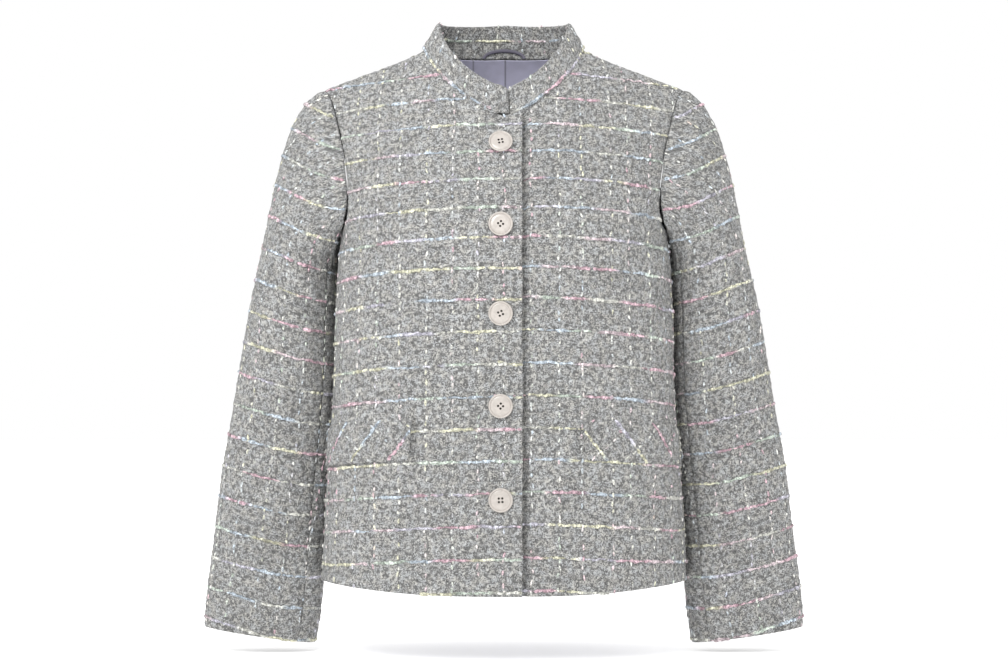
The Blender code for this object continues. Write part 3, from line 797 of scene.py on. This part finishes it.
def yarn(strands, line, normals, rng):
    """A slub yarn along a line on the cloth, uneven in thickness, that dips into the weave."""
    far = run_along(line)
    run = np.linspace(0, far[-1], max(4, round(far[-1] / YARN_STEP)))
    line, normals = along_line(run, far, line), along_line(run, far, normals)
    side = np.cross(unit(np.gradient(line, axis=0)), normals)
    seed = int(rng.integers(1 << 30))

    def uneven(waves, first):
        heights = 0
        for k, (high, size) in enumerate(waves, first):
            heights = heights + high * lumps(run, 0 * run, size, seed + k)
        return heights[:, None]

    radius = YARN_RADIUS * (1 + uneven(YARN_SLUBS, 2))
    radius[[0, -1]] *= YARN_END
    middle = line + side * uneven(YARN_WOBBLE, 0) + normals * (YARN_LIFT + uneven(YARN_DIPS, 4))
    turn = around(YARN_SIDES)[None, :, None]
    ring = np.cos(turn) * side[:, None] + YARN_FLAT * np.sin(turn) * normals[:, None]
    points = (middle[:, None] + radius[:, None] * ring).reshape(-1, 3)
    index = ring_index(len(line), YARN_SIDES)
    faces = grid_faces(index) + [index[0, :-1].tolist(), index[-1, -2::-1].tolist()]
    speck = uneven(YARN_SPECKS, 6)
    colours = dyed(run, rng) * (DYE_TONE + DYE_SPECK * speck) + DYE_SHINE * np.maximum(speck, 0)
    strands.add(points, faces, np.repeat(colours, YARN_SIDES, axis=0))


def grain(strands, place, along, normal, length, wide, colour):
    """A small slub: a rice-grain shape that lies along a direction on the cloth."""
    turn = around(GRAIN_SIDES)[:, None]
    circle = np.cos(turn) * np.cross(along, normal) + GRAIN_FLAT * np.sin(turn) * normal
    half = along * length / 2
    rings = [place + far * half + circle * size * wide / 2 for far, size in GRAIN_RINGS]
    points = np.concatenate([[place - half], *rings, [place + half]])
    index = 1 + ring_index(len(rings), GRAIN_SIDES)
    faces = grid_faces(index)
    for i in range(GRAIN_SIDES):
        faces.append([0, index[0, i + 1], index[0, i]])
        faces.append([index[-1, i], index[-1, i + 1], len(points) - 1])
    strands.add(points, faces, np.tile(colour, (len(points), 1)))


def weave_in(panel, material):
    """The weft stripes and the flecked warp columns of a panel, as one mesh on its face."""
    rng = np.random.default_rng(panel.seed)
    strands = Strands()
    face, normals, u, v = panel.face, panel.normals, panel.u, panel.v
    if v[0, 0] > v[-1, 0]:
        face, normals, u, v = face[::-1], normals[::-1], u[::-1], v[::-1]
    for k in range(math.ceil(v.min() / STRIPE_PITCH), math.floor(v.max() / STRIPE_PITCH) + 1):
        for columns, rows in crossings(v, k * STRIPE_PITCH):
            at = u[0, columns]
            shown = (at >= panel.bare[0] + u.min()) & (at <= u.max() - panel.bare[1])
            columns, rows = columns[shown], rows[shown]
            yarn(strands, read(face, rows, columns), read(normals, rows, columns), rng)

    turned = [np.swapaxes(a, 0, 1) for a in (face, normals, u, v)]
    if turned[2][0, 0] > turned[2][-1, 0]:
        turned = [a[::-1] for a in turned]
    face, normals, u, v = turned
    for k in range(math.ceil(u.min() / FLECK_COLUMN), math.floor(u.max() / FLECK_COLUMN) + 1):
        drift = rng.normal(0, FLECK_DRIFT)
        for columns, rows in crossings(u, k * FLECK_COLUMN + drift):
            flecks(strands, read(face, rows, columns), read(normals, rows, columns), rng)
    return strands.build(panel.name + "_yarn", material)


def flecks(strands, line, normals, rng):
    """Slubs of the warp yarn that come up at steps along a line on the cloth."""
    run = run_along(line)
    where = np.arange(rng.uniform(0, FLECK_STEP), run[-1], FLECK_STEP)
    where = where + rng.normal(0, FLECK_JITTER, len(where))
    where = np.clip(where, FLECK_MARGIN, run[-1] - FLECK_MARGIN)
    if len(where) == 0:
        return
    colours = dyed(where * FLECK_DYE, rng) * rng.uniform(*FLECK_TONE, (len(where), 1))
    for s, colour in zip(where, colours):
        if rng.random() < FLECK_SKIP:
            continue
        behind, place, ahead = along_line([s - FLECK_REACH, s, s + FLECK_REACH], run, line)
        normal = along_line(s, run, normals)
        along = ahead - behind + rng.normal(0, FLECK_TURN, 3)
        along = unit(along - normal * (along @ normal))
        pale = rng.random() ** FLECK_PALE
        tint = np.clip(colour * (1 - pale) + np.array(WHITE_SLUB) * pale, 0, 1)
        long, wide = rng.uniform(*FLECK_LONG), rng.uniform(*FLECK_WIDE)
        aside = np.cross(along, normal) * rng.normal(0, FLECK_ASIDE)
        grain(strands, place + aside + FLECK_LIFT * normal, along, normal, long, wide, tint)


class Paint:
    """A material, the inputs of its shader, and shortcuts to add and join nodes."""

    def __init__(self, name, roughness, **values):
        self.material = bpy.data.materials.new(name)
        self.material.use_nodes = True
        self.nodes = self.material.node_tree.nodes
        self.join = self.material.node_tree.links.new
        self.inputs = self.nodes["Principled BSDF"].inputs
        for key, value in {"Roughness": roughness, "Sheen_Roughness": SHEEN_ROUGH, **values}.items():
            self.inputs[key.replace("_", " ")].default_value = value

    def node(self, kind, place=None, **values):
        made = self.nodes.new("ShaderNode" + kind)
        for key, value in values.items():
            if key in made.inputs:
                made.inputs[key].default_value = value
            else:
                setattr(made, key, value)
        if place:
            self.join(place, made.inputs["Vector"])
        return made

    def cloth(self):
        """Place on the flat cloth, in metres."""
        return self.node("UVMap", uv_map="cloth").outputs[0]

    def inside(self):
        """Place in the object's own frame."""
        return self.node("TexCoord").outputs["Object"]

    def noise(self, place, scale, detail, distortion=0.0):
        made = self.node("TexNoise", place, Scale=scale, Detail=detail, Distortion=distortion)
        return made.outputs["Fac"]

    def math(self, operation, *values, kind="Math"):
        """Result of a sum on other nodes' outputs or plain values."""
        made = self.node(kind, operation=operation)
        for socket, value in zip(made.inputs, values):
            if isinstance(value, bpy.types.NodeSocket):
                self.join(value, socket)
            else:
                socket.default_value = value
        return made.outputs[0]

    def vector(self, operation, *values):
        return self.math(operation, *values, kind="VectorMath")

    def ramp(self, source, *stops):
        """Colour ramp with (place, colour) stops."""
        made = self.node("ValToRGB")
        elements = made.color_ramp.elements
        while len(elements) < len(stops):
            elements.new(0.5)
        for element, (place, colour) in zip(elements, stops):
            element.position = place
            element.color = (*colour, 1) if isinstance(colour, tuple) else (colour, colour, colour, 1)
        self.join(source, made.inputs[0])
        return made.outputs[0]

    def mix(self, first, second, share=None):
        """Two colours mixed by a share, or multiplied where none is given."""
        made = self.node("Mix", data_type="RGBA", blend_type="MIX" if share else "MULTIPLY")
        made.inputs[0].default_value = 1.0
        for socket, source in zip((0, 6, 7), (share, first, second)):
            if source:
                self.join(source, made.inputs[socket])
        return made.outputs[2]

    def finish(self, colour, height=None, strength=0.0, distance=0.0):
        """The material with its colour and, if it has one, its bump."""
        self.join(colour, self.inputs["Base Color"])
        if height:
            bump = self.node("Bump", Strength=strength, Distance=distance)
            self.join(height, bump.inputs["Height"])
            self.join(bump.outputs[0], self.inputs["Normal"])
        return self.material


def toned(colour, by):
    return tuple(min(1.0, c * by) for c in colour)


def tweed_material():
    """Grey boucle tweed: dark pits, mid-grey ground, pale floats of warp and weft, and curled loops."""
    paint = Paint("tweed", 0.9, Sheen_Weight=0.1)
    straight = paint.vector("MULTIPLY", paint.cloth(), (1000, 1000, 0))
    stray = paint.node("TexNoise", straight, Scale=0.35, Detail=1.0).outputs["Color"]
    place = paint.vector("MULTIPLY_ADD", stray, STRAY, straight)

    def floats(wide, long, share):
        """Grains of yarn of a width and length in millimetres; only a share of them comes up."""
        stretched = paint.vector("MULTIPLY", place, (1 / wide, 1 / long, 0))
        cells = paint.node("TexVoronoi", stretched, voronoi_dimensions="2D", Scale=1.0)
        spot = paint.ramp(cells.outputs["Distance"], (0.0, 1.0), (0.26, 0.8), (0.42, 0.0))
        pick = paint.ramp(cells.outputs["Color"], (0.66 - share, 0.0), (0.7 - share, 1.0))
        return paint.math("MULTIPLY", spot, pick)

    curl = paint.math("ABSOLUTE", paint.math("SUBTRACT", paint.noise(place, 0.46, 1.0, 0.9), 0.5))
    curl = paint.ramp(curl, (0.0, 1.0), (0.05, 0.85), (0.09, 0.0))
    some = paint.ramp(paint.noise(place, 0.2, 0.0), (0.34, 0.0), (0.56, 1.0))
    yarns = paint.math("MAXIMUM", floats(3.0, 1.25, 0.07), floats(1.3, 3.2, 0.06))
    pale = paint.math("MAXIMUM", yarns, paint.math("MULTIPLY", curl, some))
    grit = paint.ramp(paint.noise(place, 0.75, 2.0), (0.3, 0.0), (0.7, 1.0))
    ground = paint.ramp(grit, (0.0, TWEED_DARK), (1.0, TWEED_MID))
    tint = paint.noise(place, 0.11, 1.0)
    light = paint.ramp(tint, (0.38, CURL_COOL), (0.5, TWEED_LIGHT), (0.62, CURL_WARM))
    tone = paint.ramp(paint.noise(place, 0.035, 2.0), (0.3, 0.9), (0.7, 1.08))
    height = paint.math("ADD", paint.math("MULTIPLY", grit, 0.5), pale)
    return paint.finish(paint.mix(paint.mix(ground, light, pale), tone), height, 0.8, 0.0012)


def yarn_material():
    """Fuzzy slub yarn in its dyed colour."""
    paint = Paint("dyed_yarn", 0.85, Sheen_Weight=0.15)
    dye = paint.node("Attribute", attribute_name="dye").outputs["Color"]
    fuzz = paint.noise(paint.inside(), 620.0, 2.0)
    return paint.finish(paint.mix(dye, paint.ramp(fuzz, (0.36, 0.34), (0.6, 1.12))), fuzz, 0.6, 0.0006)


def lining_material(name, colour, pleat_shades=()):
    """Satin lining with a fine twill, soft mottling and, at places across the cloth, dark lines of painted
    shade for pressed pleats.
    """
    paint = Paint(name, 0.42)
    place = paint.inside()
    twill = paint.node("TexWave", place, Scale=420.0, Distortion=1.5, Detail=1.0).outputs["Fac"]
    mottle = paint.noise(place, 60.0, 3.0)
    shade = paint.ramp(mottle, (0.3, toned(colour, 0.9)), (0.7, toned(colour, 1.1)))
    # Each pleat is a dark line of painted shade across the cloth; the lining itself has no fold there.
    for pleat, strength in pleat_shades:
        across = paint.node("SeparateXYZ", paint.cloth()).outputs[0]
        apart = paint.math("MULTIPLY", paint.math("SUBTRACT", across, pleat), PLEAT_SHADE_SHARP)
        line = paint.ramp(paint.math("ABSOLUTE", apart), (0.12, 1 - strength), (0.34, 1.0))
        shade = paint.mix(shade, line)
    return paint.finish(shade, twill, 0.18, 0.0003)


def button_material():
    """Pearly beige plastic with faint cloudy swirls."""
    paint = Paint("pearl_button", 0.32, Coat_Weight=0.35, Coat_Roughness=0.2)
    cloud = paint.noise(paint.inside(), 140.0, 4.0, 1.6)
    light, dark = toned(BUTTON_COLOUR, 1.07), toned(BUTTON_COLOUR, 0.9)
    return paint.finish(paint.ramp(cloud, (0.35, dark), (0.65, light)))


def mirrored(grid):
    return grid * (-1, 1, 1)


def lapped(grid, normals):
    """The left front drawn in under the right one, easing out towards the side."""
    share = np.clip((LAP_EASED - grid[..., :1]) / (LAP_EASED - LAP_FLAT), 0, 1)
    return grid - LAP_STEP * ease(share) * normals


def body_panels():
    """The two fronts and the back."""
    angle, z = front_form()
    grid, out = on_body(angle, z, False)
    x, u, v = grid[..., 0], across_body(angle, z, False), weft_height(grid)
    roll = ease(np.clip(1 - (x + LAP) / LAP_ROLL_WIDE, 0, 1))
    edge = grid + LAP_ROLL * roll[..., None] * out
    edge[..., 0] += LAP_WAVE * roll * lumps(z, 0 * z, LAP_WAVE_LONG, LAP_WAVE_SEED)
    started = np.clip((front_neck(x) - z) / LAP_GROOVE_START, 0, 1)
    groove = LAP_GROOVE * bell((x - LAP_GROOVE_X) / LAP_GROOVE_WIDE) * started
    edges = ("fold", "neck", "seam", "fold")
    right = Panel("front_right", mirrored(edge), mirrored(out), -u, v, edges)
    left = Panel("front_left", lapped(grid, out), out, u, v + LEFT_STRIPE_SHIFT, edges, groove=groove)

    angle, z = back_form()
    grid, out = (np.concatenate([h, mirrored(h)[:, -2::-1]], axis=1) for h in on_body(angle, z, True))
    half_u = across_body(angle, z, True)
    u = np.concatenate([half_u, -half_u[:, -2::-1]], axis=1)
    back = Panel("back", grid, out, u, weft_height(grid), ("fold", "neck", "seam", "seam"))
    return right, left, back


def sleeve_panels(front, back):
    """Top and under pieces of both sleeves, hung on the armhole of the body at +X."""
    loop = np.concatenate([front.grid[SIDE_ROWS:, 0], back.grid[-2:SIDE_ROWS:-1, 0]])
    count = len(loop)
    closed = sleeve_grid(loop)
    axis = closed.mean(axis=1, keepdims=True)
    over = np.roll(closed, -1, axis=1) - np.roll(closed, 1, axis=1)
    out = unit(np.cross(over, np.gradient(closed, axis=0)))
    out *= np.sign(np.sum(out * (closed - axis)))
    first, last = round(FRONT_SLEEVE_SEAM * count), round(BACK_SLEEVE_SEAM * count)
    panels = []
    for side, turn in (("left", (1, 1, 1)), ("right", (-1, 1, 1))):
        for name, columns in (("top", range(first, last + 1)), ("under", range(last, count + first + 1))):
            pick = [k % count for k in columns]
            grid, normals = closed[:, pick] * turn, out[:, pick] * turn
            u, v = lengths(grid, 1), sleeve_weft(grid)
            edges = ("seam", "fold", "seam", "seam")
            panels.append(Panel(f"sleeve_{side}_{name}", grid, normals, u, v, edges))
    return panels


def neck_base():
    """Neckline from the right collar end round the back to the left end, which is tucked behind it."""
    sides = []
    for end, lap in ((-COLLAR_END_RIGHT, False), (COLLAR_END_LEFT, True)):
        x = np.concatenate([neck_line(LAP_START), np.linspace(LAP_START, end, END_STEPS)[1:]])
        z = front_neck(x)
        line, out = on_body(angle_at(x, z), z, False)
        if lap:
            tuck = np.clip((COLLAR_TUCK_FROM - x) / COLLAR_TUCK_RUN, 0, 1)[:, None]
            line = lapped(line, out) - COLLAR_TUCK * tuck * out
        sides.append(line)
    first = angle_at(NECK_HALF, 0.0)
    a = np.linspace(first, math.pi - first, 2 * NECK_COLUMNS + 1)[1:-1]
    z = BACK_NECK_RISE * (1 - np.abs(np.linspace(-1, 1, 2 * NECK_COLUMNS + 1)[1:-1]))
    back = body_point(a, z, True)
    return np.concatenate([mirrored(sides[0])[::-1], back[::-1], sides[1]])


def collar_panels():
    """The collar, and its inner face for the yarns that show there."""
    grid = collar_grid(neck_base())
    out = grid_normals(grid, (grid - (0, COLLAR_MIDDLE, 0)) * (1, 1, 0))
    run = np.broadcast_to(run_along(grid[0]), grid.shape[:2])
    up = lengths(grid, 0) - COLLAR_SEWN
    edges = ("neck", "fold", "fold", "fold")
    collar = Panel("collar", grid, out, run, up - COLLAR_STRIPE, edges, COLLAR_CLOTH, 1)
    collar.bare = COLLAR_BARE
    inner = grid - COLLAR_CLOTH * out
    inside = Panel("collar_inside", inner, -out, run, up - COLLAR_INNER_STRIPE, edges, COLLAR_CLOTH, 1)
    return collar, inside


def flap_panels():
    """Bias-cut flaps that grow out of the front at the top and lie free at the other edges."""
    panels = []
    for side, turn, inner in (("right", (-1, 1, 1), FLAP_INNER[0]), ("left", (1, 1, 1), FLAP_INNER[1])):
        angle, z = flap_form(inner)
        skin, out = on_body(angle, z, False)
        outward = across_body(angle, z, False)
        outward = outward - outward[-1, 0]
        free = np.clip((FLAP_TOP - z) / FLAP_CURL_START, 0, 1)
        curl = FLAP_CURL * np.clip(1 - outward / FLAP_CURL_WIDE, 0, 1) ** 2 * free
        grid = (skin + (SKIN_GAP + FLAP_STAND + curl)[..., None] * out) * turn
        above = z - (FLAP_TOP - FLAP_FIRST_STRIPE)
        c, s = math.cos(FLAP_BIAS), math.sin(FLAP_BIAS)
        u, v = outward * c - above * s, outward * s + above * c
        edges = ("fold", "sunk", "fold", "fold")
        panels.append(Panel(f"flap_{side}", grid, out * turn, u, v, edges, FLAP_STAND, 1))
    return panels


def make_cloth():
    right, left, back = body_panels()
    sleeves = sleeve_panels(left, back)
    collar, collar_inside = collar_panels()
    panels = [right, left, back, *sleeves, collar, *flap_panels()]
    tweed, dye = tweed_material(), yarn_material()
    for panel in panels:
        item = panel.build(tweed, "tweed")
        trim = [weave_in(panel, dye)]
        if panel is collar:
            trim.append(weave_in(collar_inside, dye))
    return panels


def make_lining(back):
    """Lining that shows inside the back neck, with two dark lines of painted shade for pressed pleats."""
    rows = slice(LINING_HEM_ROWS, None, LINING_STEP)
    columns = slice(LINING_SIDE_COLUMNS, -LINING_SIDE_COLUMNS, LINING_STEP)
    behind, out = back.behind[rows, columns], back.normals[rows, columns]
    uv = np.stack([back.u, back.v], axis=-1)[rows, columns]
    outer = behind - LINING_INSET * out
    inner = behind - (LINING_INSET + LINING_CLOTH) * out
    material = lining_material("lining", LINING_COLOUR, LINING_PLEAT_SHADES)
    item = shell("back_lining_cloth", outer, inner, uv, material, 1)
    item.data.set_sharp_from_angle(angle=SHARP_ANGLE)
    stand_in(item, "back_lining")


def make_buttons(front):
    material = button_material()
    # The button holes' walls take a near-black painted shade.
    hole = Paint("button_hole_painted_shade", 0.9, Base_Color=HOLE_SHADE_COLOUR)
    middle = np.argmin(np.abs(front.grid[0, :, 0] - BUTTON_X))
    column = front.grid[:, middle]
    for k, (z, turn) in enumerate(zip(BUTTON_HEIGHTS, BUTTON_TURNS)):
        low, y, high = np.interp([z - BUTTON_LEAN, z, z + BUTTON_LEAN], column[:, 2], column[:, 1])
        out = unit(np.array([0, -2 * BUTTON_LEAN, high - low]))
        button(f"button_{k + 1}", np.array([BUTTON_X, y, z]), out, turn, material, hole.material)


def turned(name, rings, circle, out, middle, material):
    """Closed body of rings round a middle, each a radius and a height along out."""
    points = np.concatenate([middle + h * out + r * circle for r, h in rings])
    index = ring_index(len(rings), len(circle))
    faces = grid_faces(index) + [index[0, -2::-1].tolist(), index[-1, :-1].tolist()]
    return add_mesh(name, points, faces, material)


def button(name, place, out, turn, material, hole_shade_material):
    """Turned four-hole button with a raised rim, on its shank; the walls of its holes carry a near-black
    painted shade.
    """
    right = np.array([1.0, 0, 0])
    up = np.cross(out, right)
    angles = around(BUTTON_SIDES)[:, None]
    circle = np.cos(angles) * right + np.sin(angles) * up
    item = turned(name + "_turned", np.array(BUTTON_PROFILE) / 1000, circle, out, place, material)
    rings = [(BUTTON_HOLE, height) for height in BUTTON_HOLE_DEEP]
    small = circle[::BUTTON_SIDES // DRILL_SIDES]
    drills = []
    for t in turn + math.pi / 4 + around(4):
        middle = place + BUTTON_HOLE_RING * (math.cos(t) * right + math.sin(t) * up)
        drills.append(turned("drill", rings, small, out, middle, hole_shade_material))
        cut = item.modifiers.new("hole", "BOOLEAN")
        cut.operation = "DIFFERENCE"
        # Each drill leaves its near-black painted shade on the wall of its hole.
        cut.material_mode = "TRANSFER"
        cut.object = drills[-1]
    evaluated = item.evaluated_get(bpy.context.evaluated_depsgraph_get())
    drilled = bpy.data.meshes.new_from_object(evaluated)
    item.modifiers.clear()
    item.data = drilled
    item.data.set_sharp_from_angle(angle=SHARP_ANGLE)
    for drill in drills:
        bpy.data.objects.remove(drill, do_unlink=True)
    stand_in(item, name)


def make_loop(collar):
    """Rounded strip of lining cloth that arches over the back neck seam."""
    inner = collar.grid - COLLAR_CLOTH * collar.normals
    middle = inner.shape[1] // 2
    near = inner[:, middle - LOOP_REACH:middle + LOOP_REACH + 1]
    points = []
    for k in range(LOOP_STEPS + 1):
        t = math.pi * k / LOOP_STEPS
        for q in around(LOOP_SIDES):
            wide = math.copysign(abs(math.cos(q)) ** LOOP_SQUARE[0], math.cos(q)) * LOOP_WIDE / 2
            thick = (math.copysign(abs(math.sin(q)) ** LOOP_SQUARE[1], math.sin(q)) - 1) * LOOP_THICK / 2
            x = (LOOP_HALF + wide) * math.cos(t)
            z = LOOP_FOOT + (LOOP_RISE + wide) * math.sin(t)
            row = np.interp(z, near[:, LOOP_REACH, 2], np.arange(len(near)))
            low = min(int(row), len(near) - 2)
            line = near[low] * (low + 1 - row) + near[low + 1] * (row - low)
            y = np.interp(x, line[:, 0], line[:, 1])
            points.append((x, y - SKIN_GAP + thick, z))
    index = ring_index(LOOP_STEPS + 1, LOOP_SIDES)
    faces = grid_faces(index) + [index[0, :-1].tolist(), index[-1, -2::-1].tolist()]
    item = add_mesh("hanger_loop_strip", np.array(points), faces, lining_material("loop", LOOP_COLOUR))
    stand_in(item, "hanger_loop")


def area_light(name, place, aim, size, power):
    light = bpy.data.lights.new(name, "AREA")
    light.shape = "DISK"
    light.size = size
    light.energy = power
    item = add_object(name, light)
    item.location = place
    item.rotation_euler = (Vector(aim) - Vector(place)).to_track_quat("-Z", "Y").to_euler()


def make_stage():
    """White floor, white surroundings, a soft key from the upper left, and the camera."""
    scene = bpy.context.scene
    scene.view_settings.view_transform = "Standard"
    world = bpy.data.worlds.new("studio")
    world.use_nodes = True
    world.node_tree.nodes["Background"].inputs[0].default_value = WHITE
    scene.world = world

    signs = (-1, -1), (1, -1), (1, 1), (-1, 1)
    corners = np.array([(FLOOR_HALF * x, FLOOR_HALF * y, FLOOR) for x, y in signs])
    paint = Paint("floor", 0.9, Base_Color=WHITE, Emission_Color=WHITE, Emission_Strength=FLOOR_GLOW)
    floor = add_mesh("floor", corners, [[0, 1, 2, 3]], paint.material)

    area_light("key", KEY_AT, KEY_AIM, KEY_SIZE, KEY_POWER)

    camera = bpy.data.cameras.new("camera")
    camera.lens = CAMERA_LENS
    camera.sensor_width = CAMERA_SENSOR
    camera.shift_y = CAMERA_SHIFT
    item = add_object("camera", camera)
    item.location = CAMERA_AT
    item.rotation_euler = (math.pi / 2, 0, 0)
    scene.camera = item


cloth = make_cloth()
parts = {panel.name: panel for panel in cloth}
make_lining(parts["back"])
make_buttons(parts["front_right"])
make_loop(parts["collar"])
make_stage()
